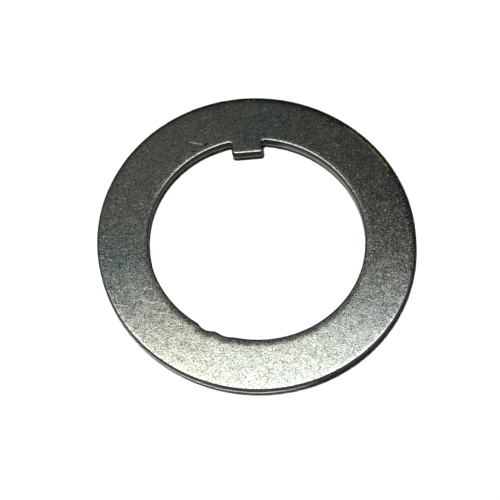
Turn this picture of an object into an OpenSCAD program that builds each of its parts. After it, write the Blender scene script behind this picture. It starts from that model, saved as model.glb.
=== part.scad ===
// Wheel bearing washer: a flat ring blanked from steel plate, with one square key tongue
// left standing inward from the bore.  One piece of metal.
// Millimetres.  The ring lies on z = 0, its bore is on the z axis and the tongue is on +Y.

/* [Ring] */
// Outer diameter of the ring, at its widest
outer_d = 62; // [56:0.5:72]
// Bore diameter, at its narrowest
bore_d = 42.3; // [36:0.1:48]
// Thickness of the plate
plate_t = 3; // [2:0.1:4.5]

/* [Sheared edge] */
// Width of the band along every ring edge where the upper face rolls down
roll_w = 1.5; // [0.9:0.1:2.4]
// How far the upper face has sagged by the time it reaches the corner
roll_sag = 0.06; // [0.03:0.01:0.15]
// Radius of the rounded upper corner
corner_r = 0.3; // [0.15:0.05:0.5]
// Height of the torn band at the bottom of the wall
tear_h = 1.2; // [0.4:0.1:1.3]
// How far the torn band steps back by the lower face
tear_back = 0.1; // [0.04:0.02:0.24]
// Size of the broken corner at the lower face
break_c = 0.1; // [0.04:0.02:0.2]

/* [Key tongue] */
// Width of the tongue across its sides
tongue_w = 6.25; // [4:0.25:9]
// Reach of the tongue inward from the bore
tongue_reach = 2.9; // [2.2:0.1:4.5]
// Radius of the two corners at the end of the tongue
tip_r = 0.8; // [0.6:0.1:1.4]
// Radius of the two fillets where the tongue leaves the bore
root_r = 0.5; // [0.4:0.1:1]

/* [Bore nicks] */
// Angle from the tongue round to the deeper nick
nick_a_turn = 147.2; // [120:0.2:150]
// Width of the deeper nick along the bore
nick_a_w = 3.2; // [2:0.1:4]
// Depth of the deeper nick
nick_a_depth = 0.45; // [0.2:0.05:0.7]
// Angle from the tongue round to the shallow nick
nick_b_turn = 158; // [156:0.2:180]
// Width of the shallow nick along the bore
nick_b_w = 3.1; // [2:0.1:4]
// Depth of the shallow nick
nick_b_depth = 0.24; // [0.1:0.02:0.4]

/* [Hidden] */
$fn = 120;
cut_over = 1;
chord_drop = 0.02;
nick_soften = 0.05;

outer_r = outer_d / 2;
bore_r = bore_d / 2;
ring_w = outer_r - bore_r;

// the sagged face meets the corner radius this many degrees short of its crown
crown = 15;
tongue_z = plate_t - roll_sag;
wall_top = round((tongue_z - corner_r * cos(crown)) * 100) / 100;
sag_run = roll_w - corner_r;
sag_r = round((pow(sag_run, 2) + pow(roll_sag, 2)) / (2 * roll_sag) * 100) / 100;
sag_chord_z = tongue_z - chord_drop;

// a nick's upper corner is this much softer than the bore's
nick_edge_r = corner_r + nick_soften;
nick_wall_top = round((tongue_z - nick_edge_r * cos(crown)) * 100) / 100;

// the tongue stands between two fillets, each lapped a little way into the metal either side
tip_y = bore_r - tongue_reach;
tongue_half = tongue_w / 2;
root_lap = root_r * (1 - cos(crown));
root_bury = root_r + corner_r;
root_x = tongue_half + root_r - root_lap;
root_reach = bore_r - root_r + root_lap;
root_y = sqrt(pow(root_reach, 2) - pow(root_x, 2));
root_turn = acos(root_x / root_reach);

// Wall of a sheared edge, standing on x = 0 with metal toward +x, up to the corner radius.
module wall_section(run) {
  polygon([[run, 0], [tear_back + break_c, 0], [tear_back, break_c], [0, tear_h],
           [0, wall_top], [run, wall_top]]);
}

// Edge of the tongue: torn band, wall, rounded corner and a flat face.
module tongue_section(run) {
  wall_section(run);
  polygon([[corner_r, wall_top], [corner_r, tongue_z], [run, tongue_z], [run, wall_top]]);
  intersection() {
    translate([corner_r, wall_top]) circle(r = corner_r);
    translate([-cut_over, wall_top]) square([corner_r + cut_over, tongue_z - wall_top]);
  }
}

// Edge of the ring: the same wall, with the face climbing back to full height along a long arc.
module ring_section(run) {
  wall_section(run);
  polygon([[corner_r, wall_top], [corner_r, sag_chord_z], [roll_w, plate_t],
           [run, plate_t], [run, wall_top]]);
  intersection() {
    translate([corner_r, wall_top]) circle(r = corner_r);
    translate([roll_w, plate_t - sag_r]) circle(r = sag_r);
    translate([-cut_over, wall_top]) square([corner_r + cut_over, corner_r + cut_over]);
  }
  intersection() {
    translate([roll_w, plate_t - sag_r]) circle(r = sag_r);
    polygon([[corner_r, sag_chord_z], [roll_w, plate_t], [roll_w, plate_t + cut_over],
             [corner_r, plate_t + cut_over]]);
  }
}

module ring() {
  rotate_extrude() {
    translate([bore_r, 0]) ring_section(ring_w / 2);
    translate([outer_r, 0]) mirror([1, 0]) ring_section(ring_w / 2);
  }
}

// Tongue: a straight middle, a straight end, and the section swept round both tip corners.
module tongue() {
  translate([0, bore_r + root_bury, 0]) rotate([90, 0, 0])
    linear_extrude(bore_r + root_bury - tip_y - tip_r) {
      translate([-tongue_half, 0]) tongue_section(tongue_half);
      translate([tongue_half, 0]) mirror([1, 0]) tongue_section(tongue_half);
    }
  translate([-tongue_half + tip_r, tip_y, 0]) rotate([90, 0, 90])
    linear_extrude(tongue_w - 2 * tip_r) tongue_section(tip_r);
  for (side = [0, 1])
    mirror([side, 0, 0])
      translate([tongue_half - tip_r, tip_y + tip_r, 0]) rotate([0, 0, -90])
        rotate_extrude(angle = 90) translate([tip_r, 0]) mirror([1, 0]) tongue_section(tip_r);
}

// Fillet between the tongue's side and the bore, the section swept round the hollow corner.
module root_fillet() {
  translate([root_x, root_y, 0]) rotate([0, 0, root_turn])
    rotate_extrude(angle = 180 - root_turn) translate([root_r, 0]) tongue_section(root_bury);
}

// Shallow scallop in the bore wall, its top edge tumbled a little softer than the bore's own.
module nick(turn, w, depth) {
  nick_r = (pow(w / 2, 2) + pow(depth, 2)) / (2 * depth);
  edge_x = nick_r + nick_edge_r;
  rotate([0, 0, 90 + turn]) translate([bore_r + depth - nick_r, 0, 0])
    rotate_extrude() difference() {
      polygon([[0, -cut_over], [nick_r, -cut_over], [nick_r, nick_wall_top], [edge_x, nick_wall_top],
               [edge_x, tongue_z], [edge_x + cut_over, tongue_z + cut_over], [0, tongue_z + cut_over]]);
      translate([edge_x, nick_wall_top]) circle(r = nick_edge_r);
    }
}

module washer() {
  color("#8f9492")
    difference() {
      union() {
        ring();
        tongue();
        for (side = [0, 1]) mirror([side, 0, 0]) root_fillet();
      }
      nick(nick_a_turn, nick_a_w, nick_a_depth);
      nick(nick_b_turn, nick_b_w, nick_b_depth);
    }
}

washer();
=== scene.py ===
import math

import bpy
import numpy as np
from mathutils import Matrix, Vector, noise


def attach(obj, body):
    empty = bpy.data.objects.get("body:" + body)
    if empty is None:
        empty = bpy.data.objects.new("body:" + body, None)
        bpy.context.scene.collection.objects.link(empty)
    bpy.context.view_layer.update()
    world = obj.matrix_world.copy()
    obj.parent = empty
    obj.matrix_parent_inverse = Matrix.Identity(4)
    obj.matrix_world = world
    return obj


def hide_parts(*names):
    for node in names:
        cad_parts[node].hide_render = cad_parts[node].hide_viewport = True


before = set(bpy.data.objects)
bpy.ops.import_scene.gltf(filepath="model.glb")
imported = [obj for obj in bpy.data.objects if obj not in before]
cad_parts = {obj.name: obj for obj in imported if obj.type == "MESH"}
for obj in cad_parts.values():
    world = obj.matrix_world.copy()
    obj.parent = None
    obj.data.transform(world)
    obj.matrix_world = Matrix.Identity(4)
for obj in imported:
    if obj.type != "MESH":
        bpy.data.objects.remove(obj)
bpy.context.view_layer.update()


# ---------------------------------------------------------------------------------------
# The view: one lens a hand's span above the bench, looking down steeply at the washer
# from the side away from its tongue, the camera tipped a little to one side.
# ---------------------------------------------------------------------------------------
MM = 0.001
eye = Vector((-12.76, -93.18, 213.63)) * MM
aim = Vector((-1.49, -1.59, 0.0)) * MM
tip_deg = 1.64

lens = bpy.data.cameras.new("bench_camera")
lens.sensor_width = 36
lens.lens = 85.57
lens.clip_start, lens.clip_end = 0.005, 20
camera = bpy.data.objects.new("bench_camera", lens)
look = (aim - eye).to_track_quat("-Z", "Y").to_matrix().to_4x4()
camera.matrix_world = Matrix.Translation(eye) @ look @ Matrix.Rotation(math.radians(tip_deg), 4, "Z")
bpy.context.scene.collection.objects.link(camera)
bpy.context.scene.camera = camera


# ---------------------------------------------------------------------------------------
# The washer: mild steel plate, blanked and pierced in one stroke, with a square key tongue
# left in the bore.  The punch rolls the upper edges down, burnishes the wall and tears its
# lower part; tumbling then softens every corner, and bright zinc goes over it all.
# ---------------------------------------------------------------------------------------
outer_r, bore_r, plate_t = 30.996, 21.15, 3.0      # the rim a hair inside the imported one
tongue_half, tongue_reach, tip_r, root_r = 3.125, 2.9, 0.8, 0.5
nicks = ((147.2, 3.2, 0.45), (158.0, 3.1, 0.24))   # turn from the tongue, width, depth

# The sheared edge: the face rolls down into a rounded corner, each roll given by its slope at
# the corner and by a reach.  The bore's roll is widest on the side away from the tongue, the
# rim's is steepest on the tongue's side.
bore_slope, bore_roll_least, bore_roll_most = 0.11, 0.27, 0.72
rim_slope_least, rim_slope_most = 0.1, 0.28
rim_roll_least, rim_roll_most = 0.22, 0.45
bore_corner, rim_corner = 0.3, 0.3
tear_h, break_c = 1.3, 0.1
bore_tear_back, rim_tear_back = 0.22, 0.1

# Rows of points up one edge: foot (lower face and broken corner), torn band, wall and corner.
# The lip is the row where the tear begins.
foot_rows, tear_rows, wall_rows, corner_rows = 4, 4, 7, 9
foot_w, lip = 0.6, foot_rows + tear_rows


def arc(cx, cy, r, start, end, count):
    """Points on an arc, in mm, from start to end in degrees, without the last one."""
    turn = np.radians(np.linspace(start, end, count + 1)[:-1])
    return np.column_stack([cx + r * np.cos(turn), cy + r * np.sin(turn)])


def straight(a, b, count):
    """Points on a line, in mm, without the last one."""
    share = np.linspace(0, 1, count + 1)[:-1, None]
    return np.array(a) + share * (np.array(b) - np.array(a))


# The pierced outline, from the tongue's left root round the tongue and back along the bore.
root_y = math.sqrt((bore_r - root_r) ** 2 - (tongue_half + root_r) ** 2)
root_deg = math.degrees(math.atan2(root_y, tongue_half + root_r))
tip_y = bore_r - tongue_reach
outline = [
    arc(-tongue_half - root_r, root_y, root_r, 180 - root_deg, 0, 14),
    straight((-tongue_half, root_y), (-tongue_half, tip_y + tip_r), 8),
    arc(-tongue_half + tip_r, tip_y + tip_r, tip_r, 180, 270, 16),
    straight((-tongue_half + tip_r, tip_y), (tongue_half - tip_r, tip_y), 24),
    arc(tongue_half - tip_r, tip_y + tip_r, tip_r, 270, 360, 16),
    straight((tongue_half, tip_y + tip_r), (tongue_half, root_y), 8),
    arc(tongue_half + root_r, root_y, root_r, 180, root_deg, 14),
    arc(0, 0, bore_r, root_deg, root_deg - (360 - 2 * (90 - root_deg)), 720),
]
bored = np.vstack(outline)

# Each spoke of the mesh runs from a point of that outline to one of the rim.  Those from the
# tongue land at these X along the rim, part by part.
root_x = outer_r * math.cos(math.radians(root_deg))
rim_x = [-root_x, -3.0, -2.7, -2.1, 2.1, 2.7, 3.0, root_x]
rim_turn = []
for part, a, b in zip(outline[:7], rim_x[:-1], rim_x[1:]):
    rim_turn.append(np.arccos(np.linspace(a, b, len(part) + 1)[:-1] / outer_r))
rim_turn = np.concatenate(rim_turn + [np.arctan2(outline[7][:, 1], outline[7][:, 0])])
rim = outer_r * np.column_stack([np.cos(rim_turn), np.sin(rim_turn)])

# The two nicks: the wall steps back along a shallow scoop.
turn_here = np.degrees(np.arctan2(bored[:, 1], bored[:, 0]))
step_back = np.zeros(len(bored))
for turn, width, depth in nicks:
    along = ((turn_here - 90 - turn + 180) % 360 - 180) / 180 * math.pi * bore_r
    step_back = np.maximum(step_back, depth * (1 - (along / (width / 2)) ** 2))
bored = bored * (1 + step_back / np.hypot(*bored.T))[:, None]

# Directions from each outline into the metal, at right angles to it
ahead = np.roll(bored, -1, 0) - np.roll(bored, 1, 0)
bored_in = np.column_stack([-ahead[:, 1], ahead[:, 0]]) / np.hypot(*ahead.T)[:, None]
rim_in = -rim / outer_r


def from_bore(points):
    """Distance in mm from points on the face to the nearest part of the pierced outline."""
    span = np.roll(bored, -1, 0) - bored
    off = points[:, None] - bored
    share = np.clip((off * span).sum(2) / (span ** 2).sum(1), 0, 1)
    return np.sqrt(((off - share[..., None] * span) ** 2).sum(2)).min(1)


# The roll of the two edges, spoke by spoke.  Each grows along its own direction: the bore's away
# from the tongue, the rim's toward it and to the right.
bore_grows, rim_grows = (-0.3, -0.95), (0.35, 0.94)
away = 0.5 + 0.5 * (bored @ bore_grows) / np.hypot(*bored.T)
bore_roll = bore_roll_least + (bore_roll_most - bore_roll_least) * away
tongue_side = np.clip(0.6 + 1.8 * (rim @ rim_grows) / outer_r, 0, 1)
rim_roll = rim_roll_least + (rim_roll_most - rim_roll_least) * tongue_side
rim_slope = rim_slope_least + (rim_slope_most - rim_slope_least) * tongue_side


def face_height(points):
    """Height in mm of the upper face, one point per spoke: it sags as it nears either edge."""
    from_rim = outer_r - np.hypot(*points.T) - rim_corner * (1 - np.sin(np.arctan(rim_slope)))
    from_edge = from_bore(points) - bore_corner * (1 - math.sin(math.atan(bore_slope)))
    return (plate_t - rim_slope * rim_roll * np.exp(-from_rim / rim_roll)
            - bore_slope * bore_roll * np.clip(1 - from_edge / (2 * bore_roll), 0, 1) ** 2)


def edge_rows(wall, inward, roll, slope, corner, tear_back):
    """Points of one edge, row by row upward, each row running along the wall's outline."""
    all_along = np.ones(len(wall))
    climb = math.pi / 2 - np.arctan(slope)
    wall_top = plate_t - slope * roll - corner * np.sin(climb)
    # The tear begins at an uneven height: long waves with short ones on them
    ragged = [noise.noise(Vector((x, y, 3.1)) * 0.7) * 0.2 + noise.noise(Vector((x, y, 8.3)) * 2.1) * 0.12
              for x, y in wall]
    tear = tear_h + np.array(ragged)
    profile = [(foot_w, 0), (foot_w / 2, 0), (tear_back + break_c, 0), (tear_back, break_c)]
    for k in range(1, tear_rows + 1):
        share = k / (tear_rows + 1)
        profile.append((tear_back * (1 - share), break_c + (tear - break_c) * share))
    for k in range(wall_rows):
        profile.append((0, tear + (wall_top - tear) * k / (wall_rows - 1)))
    for k in range(1, corner_rows + 1):
        turn = climb * k / corner_rows
        profile.append((corner * (1 - np.cos(turn)), wall_top + corner * np.sin(turn)))
    return [np.column_stack([wall + (back * all_along)[:, None] * inward, height * all_along])
            for back, height in profile]


# Rows of the mesh: up the bore wall, across the face, down the rim wall, back underneath.
rows = edge_rows(bored, bored_in, bore_roll, bore_slope, bore_corner, bore_tear_back)
rim_rows = edge_rows(rim, rim_in, rim_roll, rim_slope, rim_corner, rim_tear_back)
edge_count = len(rows)
under_shares = (0.25, 0.5, 0.75)
start, stop = rows[-1][:, :2], rim_rows[-1][:, :2]
# Across the face they stand closer toward both edges, where it rolls down.
face_w = 9.3
face_steps = np.array([0.1, 0.2, 0.32, 0.46, 0.62, 0.82, 1.05, 1.35, 1.7, 2.15, 2.7, 3.3, 3.95, 4.6]) / face_w
for share in np.concatenate([face_steps, 1 - face_steps[::-1]]):
    flat = start + share * (stop - start)
    rows.append(np.column_stack([flat, face_height(flat)]))
rows += rim_rows[::-1]
for share in under_shares:
    under = (1 - share) * (rim + foot_w * rim_in) + share * (bored + foot_w * bored_in)
    rows.append(np.column_stack([under, np.zeros(len(rim))]))
rows = np.array(rows)

mesh = bpy.data.meshes.new("tongued_washer")
grid = np.arange(rows.shape[0] * rows.shape[1]).reshape(rows.shape[:2])
below = np.roll(grid, -1, 0)
quads = np.stack([grid, np.roll(grid, -1, 1), np.roll(below, -1, 1), below], -1).reshape(-1, 4)
mesh.from_pydata((rows.reshape(-1, 3) * MM).tolist(), [], quads.tolist())
mesh.polygons.foreach_set("use_smooth", [True] * len(mesh.polygons))

# How pale the sheared wall is, row by row: dark; a grey line where the tear begins in the bore,
# a painted highlight on the ledge there; and round the near left quarter of the rim a whitish
# tear, painted light on the side where the light falls.  The right of the bore, from 18 degrees
# below the X axis to 74 above it, is paler, and less olive too.
bore_deg = np.degrees(np.arctan2(bored[:, 1], bored[:, 0]))
paler_right = np.clip((74 - bore_deg) / 6, 0, 1) * np.clip((bore_deg + 18) / 30, 0, 1)
rim_deg = np.degrees(np.arctan2(rim[:, 1], rim[:, 0])) % 360
# Painted light: the rim's tear is painted whitish only round its near left quarter, the side the light falls
# on.
painted_lit_tear = np.clip((rim_deg - 195) / 20, 0, 1) * np.clip((287 - rim_deg) / 12, 0, 1)
pale = np.zeros(rows.shape[:2], np.float32)
olive = np.zeros(rows.shape[:2], np.float32)
olive[:edge_count] = 1 - 0.8 * paler_right
# The lip's grey is a painted highlight: the ledge where the tear begins, catching light.
painted_lip_highlight, right_band_pale, right_wall_pale = 0.45, 0.2, 0.03
rim_tear, rim_wall = 1.0, 0.02
rim_foot = len(rows) - len(under_shares) - 1
for k in range(edge_count):
    pale[k] = paler_right * (right_band_pale if lip - 2 <= k <= lip + 3 else right_wall_pale) + (painted_lip_highlight if k == lip else 0.0)
    pale[rim_foot - k] = painted_lit_tear * (rim_tear if lip - 3 <= k <= lip else rim_wall)
mesh.attributes.new("pale", "FLOAT", "POINT").data.foreach_set("value", pale.ravel())
mesh.attributes.new("olive", "FLOAT", "POINT").data.foreach_set("value", olive.ravel())

# The wall takes a material of its own, from the broken corner up to the last two faces of the
# rounded one.  A face lies between its row and the next, and the rim's rows run downward.
own = np.zeros(rows.shape[:2], np.int32)
for k in range(foot_rows - 2, edge_count - 3):
    own[k] = 1
    own[rim_foot - k - 1] = 1
mesh.polygons.foreach_set("material_index", own.ravel())

made = bpy.data.objects.new("tongued_washer", mesh)
bpy.context.scene.collection.objects.link(made)


def linear(code):
    """An sRGB hex colour as the linear one that a shader takes."""
    parts = [int(code[i:i + 2], 16) / 255 for i in (1, 3, 5)]
    return [p / 12.92 if p <= 0.04045 else ((p + 0.055) / 1.055) ** 2.4 for p in parts] + [1.0]


def add(tree, kind, settings=None, **links):
    """Adds a node, sets its properties and sockets, and links its sockets.  Returns it."""
    node = tree.nodes.new(kind)
    for key, value in (settings or {}).items():
        if isinstance(key, str) and hasattr(node, key):
            setattr(node, key, value)
        else:
            node.inputs[key].default_value = value
    for key, source in links.items():
        at = int(key[1:]) if key[0] == "i" and key[1:].isdigit() else key.replace("_", " ")
        tree.links.new(source, node.inputs[at])
    return node


# Bright zinc plate on tumbled steel: a warm grey mirror, broken up by fine grain and by the
# crystals of the plating, with a few dull specks that scatter light where the mirror is dark.
zinc = bpy.data.materials.new("bright_zinc_on_tumbled_steel")
zinc.use_nodes = True
tree = zinc.node_tree
tree.nodes.clear()
place = add(tree, "ShaderNodeTexCoord").outputs["Object"]

# Tumbling grain, drawn a fifth of a millimetre across so that it shows, on waves twelve times
# as long
grain_w, wave_w = 0.18 * MM, 2.2 * MM
grain = add(tree, "ShaderNodeTexNoise", {"Scale": 1 / grain_w, "Detail": 1.0, "Roughness": 0.5}, Vector=place)
waves = add(tree, "ShaderNodeTexNoise", {"Scale": 1 / wave_w, "Detail": 2.0, "Roughness": 0.5}, Vector=place)
grain_bump = add(tree, "ShaderNodeBump", {"Strength": 1.0, "Distance": 1.3e-5}, Height=grain.outputs["Fac"])
wave_bump = add(tree, "ShaderNodeBump", {"Strength": 1.0, "Distance": 2.0e-5}, Height=waves.outputs["Fac"],
                Normal=grain_bump.outputs["Normal"])

# Plating crystals, drawn as coarse as the grain: each takes its own shade, under clouds as long
# as the waves, and flakes of them lean a little warm or cool
flake_w = 0.6 * MM
crystal = add(tree, "ShaderNodeTexVoronoi", {"Scale": 1 / grain_w}, Vector=place)
crystal = add(tree, "ShaderNodeSeparateColor", Color=crystal.outputs["Color"])
shade = add(tree, "ShaderNodeMath", {"operation": "POWER", 1: 3.0}, i0=crystal.outputs[0])
shade = add(tree, "ShaderNodeMapRange", {"To Min": 1.06, "To Max": 0.26}, Value=shade.outputs[0])
cloud = add(tree, "ShaderNodeTexNoise", {"Scale": 1 / wave_w, "Detail": 3.0, "Roughness": 0.6}, Vector=place)
cloud = add(tree, "ShaderNodeMapRange", {"From Min": 0.3, "From Max": 0.7, "To Min": 0.9, "To Max": 1.1},
            Value=cloud.outputs["Fac"])
shade = add(tree, "ShaderNodeMath", {"operation": "MULTIPLY"}, i0=shade.outputs[0], i1=cloud.outputs[0])
flake = add(tree, "ShaderNodeTexVoronoi", {"Scale": 1 / flake_w}, Vector=place)
flake = add(tree, "ShaderNodeSeparateColor", Color=flake.outputs["Color"])
face_tint = add(tree, "ShaderNodeMix", {"data_type": "RGBA", 6: linear("#C5C7BA"), 7: linear("#BFC5C0")},
                i0=flake.outputs[0])

# Faint tints in the plating: straw on the near left; bluish by the tongue, far left and near right.
# Each has its middle and reach in mm, its share at the middle and its colour.
tints = ((-17, -21, 13, 0.6, "#CBC9B6"), (5, 24, 9, 0.6, "#AFC0BD"),
         (-27, -3, 10, 0.7, "#B4C4C2"), (22, -19, 13, 0.6, "#BBC4C2"))
for x, y, reach, most, colour in tints:
    middle = Vector((x, y, plate_t)) * MM
    far = add(tree, "ShaderNodeVectorMath", {"operation": "DISTANCE", 1: middle}, i0=place)
    share = add(tree, "ShaderNodeMapRange", {"interpolation_type": "SMOOTHSTEP", "From Min": 0.0,
                "From Max": reach * MM, "To Min": most, "To Max": 0.0}, Value=far.outputs["Value"])
    face_tint = add(tree, "ShaderNodeMix", {"data_type": "RGBA", 7: linear(colour)},
                    i0=share.outputs[0], i6=face_tint.outputs[2])
face_tint = add(tree, "ShaderNodeMix", {"data_type": "RGBA", "blend_type": "MULTIPLY", 0: 1.0},
                i6=face_tint.outputs[2], i7=shade.outputs[0])


def stroke(x, y, heading, half_length, bend, half_width):
    """Share of a mark on the upper face, along an arc of radius bend that fades at its ends.

    Sizes are in mm, the heading at its middle is in degrees.
    """
    across = math.radians(heading + 90)
    middle = Vector((x, y, plate_t)) * MM
    centre = middle + Vector((math.cos(across), math.sin(across), 0)) * bend * MM
    out = add(tree, "ShaderNodeVectorMath", {"operation": "DISTANCE", 1: centre}, i0=place)
    off = add(tree, "ShaderNodeMath", {"operation": "SUBTRACT", 1: bend * MM}, i0=out.outputs["Value"])
    off = add(tree, "ShaderNodeMath", {"operation": "ABSOLUTE"}, i0=off.outputs[0])
    thin = add(tree, "ShaderNodeMapRange", {"interpolation_type": "SMOOTHSTEP", "From Min": 0.0,
               "From Max": half_width * MM, "To Min": 1.0, "To Max": 0.0}, Value=off.outputs[0])
    along = add(tree, "ShaderNodeVectorMath", {"operation": "DISTANCE", 1: middle}, i0=place)
    reach = half_length * MM
    ends = add(tree, "ShaderNodeMapRange", {"interpolation_type": "SMOOTHSTEP", "From Min": reach * 0.7,
               "From Max": reach, "To Min": 1.0, "To Max": 0.0}, Value=along.outputs["Value"])
    return add(tree, "ShaderNodeMath", {"operation": "MULTIPLY"}, i0=thin.outputs[0], i1=ends.outputs[0])


# Two handling scratches, hair-thin but drawn a quarter of a millimetre wide so that they show.
# They scatter light, so they look pale where the mirror is dark.
by_the_bore = stroke(-10.24, 21.29, -17, 1.5, 6, 0.14)
on_the_left = stroke(-21.84, -11.76, -24, 1.4, 30, 0.14)
scratched = add(tree, "ShaderNodeMath", {"operation": "MAXIMUM"},
                i0=by_the_bore.outputs[0], i1=on_the_left.outputs[0])

# Dull specks, where the tumbling stones struck hardest: about one cell in thirty holds one.  The
# cells are drawn four tenths of a millimetre wide so that the specks show.
speck_w = 0.4 * MM
speck = add(tree, "ShaderNodeTexVoronoi", {"Scale": 1 / speck_w}, Vector=place)
speck_pick = add(tree, "ShaderNodeSeparateColor", Color=speck.outputs["Color"])
speck_pick = add(tree, "ShaderNodeMapRange", {"From Min": 0.965, "From Max": 1.01},
                 Value=speck_pick.outputs[0])
speck_shape = add(tree, "ShaderNodeMapRange", {"interpolation_type": "SMOOTHSTEP", "From Min": 0.15,
                  "From Max": 0.55, "To Min": 1.0, "To Max": 0.0}, Value=speck.outputs["Distance"])
speck = add(tree, "ShaderNodeMath", {"operation": "MULTIPLY"},
            i0=speck_pick.outputs[0], i1=speck_shape.outputs[0])
marked = add(tree, "ShaderNodeMath", {"operation": "MAXIMUM"}, i0=speck.outputs[0], i1=scratched.outputs[0])
face_tint = add(tree, "ShaderNodeMix", {"data_type": "RGBA", 7: linear("#E8E8E2")},
                i0=marked.outputs[0], i6=face_tint.outputs[2])

# A small dimple by the end of the scratch near the bore, painted as a dark spot of shade, and an olive stain
# along the rim
middle = Vector((-8.25, 20.92, plate_t)) * MM
painted_pit_shade = add(tree, "ShaderNodeVectorMath", {"operation": "DISTANCE", 1: middle}, i0=place)
painted_pit_shade = add(tree, "ShaderNodeMapRange", {"interpolation_type": "SMOOTHSTEP", "From Min": 0.15 * MM,
           "From Max": 0.5 * MM, "To Min": 0.9, "To Max": 0.0}, Value=painted_pit_shade.outputs["Value"])
face_tint = add(tree, "ShaderNodeMix", {"data_type": "RGBA", 7: linear("#2A2A26")},
                i0=painted_pit_shade.outputs[0], i6=face_tint.outputs[2])
stain = stroke(24.30, 17.62, 126, 7.5, 30.02, 0.5)
stain = add(tree, "ShaderNodeMath", {"operation": "MULTIPLY", 1: 0.65}, i0=stain.outputs[0])
face_tint = add(tree, "ShaderNodeMix", {"data_type": "RGBA", 7: linear("#E2DB98")},
                i0=stain.outputs[0], i6=face_tint.outputs[2])

# Every few crystals are dulled too, and so is the stain
etched = add(tree, "ShaderNodeMath", {"operation": "POWER", 1: 3.0}, i0=crystal.outputs[1])
etched = add(tree, "ShaderNodeMath", {"operation": "MULTIPLY", 1: 0.34}, i0=etched.outputs[0])
etched = add(tree, "ShaderNodeMath", {"operation": "MULTIPLY_ADD", 1: 0.5},
             i0=stain.outputs[0], i2=etched.outputs[0])
marked = add(tree, "ShaderNodeMath", {"operation": "MAXIMUM"}, i0=marked.outputs[0], i1=etched.outputs[0])
face_rough = add(tree, "ShaderNodeMapRange", {"To Min": 0.12, "To Max": 0.5}, Value=marked.outputs[0])

steel = add(tree, "ShaderNodeBsdfPrincipled", {"Metallic": 1.0}, Base_Color=face_tint.outputs[2],
            Roughness=face_rough.outputs[0], Normal=wave_bump.outputs["Normal"])
add(tree, "ShaderNodeOutputMaterial", Surface=steel.outputs[0])
mesh.materials.append(zinc)

# Sheared steel under thin plating: almost black and matt, a little olive in the bore, and paler
# wherever the share says so, which holds painted light on the rim's tear and on the bore's lip
sheared = bpy.data.materials.new("dark_sheared_steel")
sheared.use_nodes = True
tree = sheared.node_tree
tree.nodes.clear()
pale_share = add(tree, "ShaderNodeAttribute", {"attribute_name": "pale"}).outputs["Fac"]
wall_tint = add(tree, "ShaderNodeMix", {"data_type": "RGBA", 6: linear("#1C1C1A"), 7: linear("#F8F8F4")},
                i0=pale_share)
olive_share = add(tree, "ShaderNodeAttribute", {"attribute_name": "olive"}).outputs["Fac"]
wall_tint = add(tree, "ShaderNodeMix", {"data_type": "RGBA", "blend_type": "MULTIPLY", 7: linear("#FFFFE0")},
                i0=olive_share, i6=wall_tint.outputs[2])
steel = add(tree, "ShaderNodeBsdfPrincipled", {"Metallic": 0.0, "Specular IOR Level": 0.06, "Roughness": 0.5},
            Base_Color=wall_tint.outputs[2])
add(tree, "ShaderNodeOutputMaterial", Surface=steel.outputs[0])
mesh.materials.append(sheared)

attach(made, "root")
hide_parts("washer")


# ---------------------------------------------------------------------------------------
# The bench: a pale matt sweep that turns up all round like a shallow bowl, so that it is
# also the backdrop from any side.  Away from the washer's shadow it is plain white to the
# camera and in what the metal mirrors.
# ---------------------------------------------------------------------------------------
turns = 96
sweep_rows = []
for out, up in ((0.06, 0.0), (0.3, 0.0), (0.6, 0.0), (0.8, 0.02), (0.95, 0.08), (1.03, 0.18), (1.06, 0.3)):
    sweep_rows.append([(out * math.cos(2 * math.pi * k / turns), out * math.sin(2 * math.pi * k / turns), up)
                       for k in range(turns)])
points = [p for row in sweep_rows for p in row] + [(0, 0, 0)]
faces = [(len(points) - 1, k, (k + 1) % turns) for k in range(turns)]
for j in range(len(sweep_rows) - 1):
    for k in range(turns):
        a, b = j * turns + k, j * turns + (k + 1) % turns
        faces.append((a, a + turns, b + turns, b))
sweep_mesh = bpy.data.meshes.new("sweep")
sweep_mesh.from_pydata(points, [], faces)
sweep_mesh.polygons.foreach_set("use_smooth", [True] * len(sweep_mesh.polygons))
sweep = bpy.data.objects.new("sweep", sweep_mesh)
bpy.context.scene.collection.objects.link(sweep)

# Matt white card, as in a light tent: even, without gloss, and white as soon as it is lit
card = bpy.data.materials.new("matt_white_card")
card.use_nodes = True
tree = card.node_tree
tree.nodes.clear()
rays = add(tree, "ShaderNodeLightPath")
seen = add(tree, "ShaderNodeMath", {"operation": "MAXIMUM"},
           i0=rays.outputs["Is Camera Ray"], i1=rays.outputs["Is Glossy Ray"])
seen = add(tree, "ShaderNodeMath", {"operation": "MAXIMUM"},
           i0=seen.outputs[0], i1=rays.outputs["Is Transmission Ray"])
place = add(tree, "ShaderNodeTexCoord").outputs["Object"]
lit_r, plain_r = 50 * MM, 150 * MM     # lit card within the first, plain white beyond the second
out = add(tree, "ShaderNodeVectorMath", {"operation": "LENGTH"}, i0=place)
far = add(tree, "ShaderNodeMapRange", {"From Min": lit_r, "From Max": plain_r}, Value=out.outputs["Value"])
far = add(tree, "ShaderNodeMath", {"operation": "MULTIPLY"}, i0=far.outputs[0], i1=seen.outputs[0])
card_tint = add(tree, "ShaderNodeMix", {"data_type": "RGBA", 6: linear("#F4F4F2"), 7: linear("#FFFFFF")},
                i0=seen.outputs[0])
plain = add(tree, "ShaderNodeBsdfDiffuse", Color=card_tint.outputs[2])
white = add(tree, "ShaderNodeEmission", {"Color": linear("#FFFFFF"), "Strength": 1.0})
finish = add(tree, "ShaderNodeMixShader", i0=far.outputs[0], i1=plain.outputs[0], i2=white.outputs[0])
add(tree, "ShaderNodeOutputMaterial", Surface=finish.outputs[0])
sweep_mesh.materials.append(card)


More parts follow.
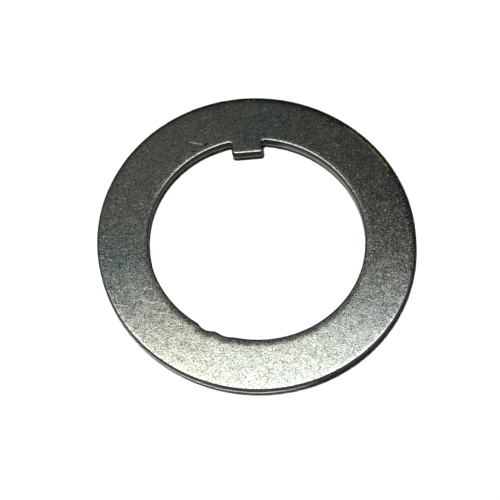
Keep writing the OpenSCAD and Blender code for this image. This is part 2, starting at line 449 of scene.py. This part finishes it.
# ---------------------------------------------------------------------------------------
# The light: one wide round softbox overhead, hung over the camera's side, in a dim room.  The
# near half of the washer mirrors the softbox, the tongue's half the room beyond its edge.
# ---------------------------------------------------------------------------------------
box_height, box_level = 0.6, 2.4       # the metal mirrors it at 2.4 times white
box_r, box_edge = 1.02, 0.307          # as shares of the height; the edge is the far one
lamp = bpy.data.lights.new("softbox", "AREA")
lamp.shape = "DISK"
lamp.size = 2 * box_r * box_height
lamp.color = linear("#FFFFFF")[:3]
lamp.energy = box_level * math.pi ** 2 * (box_r * box_height) ** 2
softbox = bpy.data.objects.new("softbox", lamp)
softbox.location = (0.0, (box_edge - box_r) * box_height, box_height)
softbox.visible_diffuse = False
bpy.context.scene.collection.objects.link(softbox)

# A small lamp high on the left draws the narrow shadows.  It is left out of what the metal
# mirrors, as the softbox is left out of what lights the card.
key_height, key_level = 0.6, 1.08      # a white card under it shows at 1.08 times white
key = bpy.data.lights.new("key_lamp", "AREA")
key.shape = "DISK"
key.size = 0.03
key.energy = key_level * math.pi ** 2 * key_height ** 2
key_lamp = bpy.data.objects.new("key_lamp", key)
key_lamp.location = (-0.068, 0.03, key_height)
key_lamp.rotation_euler = key_lamp.location.to_track_quat("Z", "Y").to_euler()
key_lamp.visible_glossy = False
bpy.context.scene.collection.objects.link(key_lamp)

# The room: dark, and a little lighter high up behind the washer, in a round patch whose light
# fades out between 8 and 22 degrees from its middle
room = bpy.data.worlds.new("dim_room")
room.use_nodes = True
tree = room.node_tree
tree.nodes.clear()
toward = add(tree, "ShaderNodeTexCoord")
lightest = Vector((-0.15, 0.4, 1)).normalized()
ceiling = add(tree, "ShaderNodeVectorMath", {"operation": "DOT_PRODUCT", 1: lightest},
              i0=toward.outputs["Generated"])
level = add(tree, "ShaderNodeMapRange", {"From Min": 0.925, "From Max": 0.99,
            "To Min": 0.012, "To Max": 0.13}, Value=ceiling.outputs["Value"])
dim = add(tree, "ShaderNodeBackground", {"Color": linear("#FAFFF8")}, Strength=level.outputs[0])
add(tree, "ShaderNodeOutputWorld", Surface=dim.outputs[0])
bpy.context.scene.world = room
bpy.context.scene.view_settings.view_transform = "Standard"
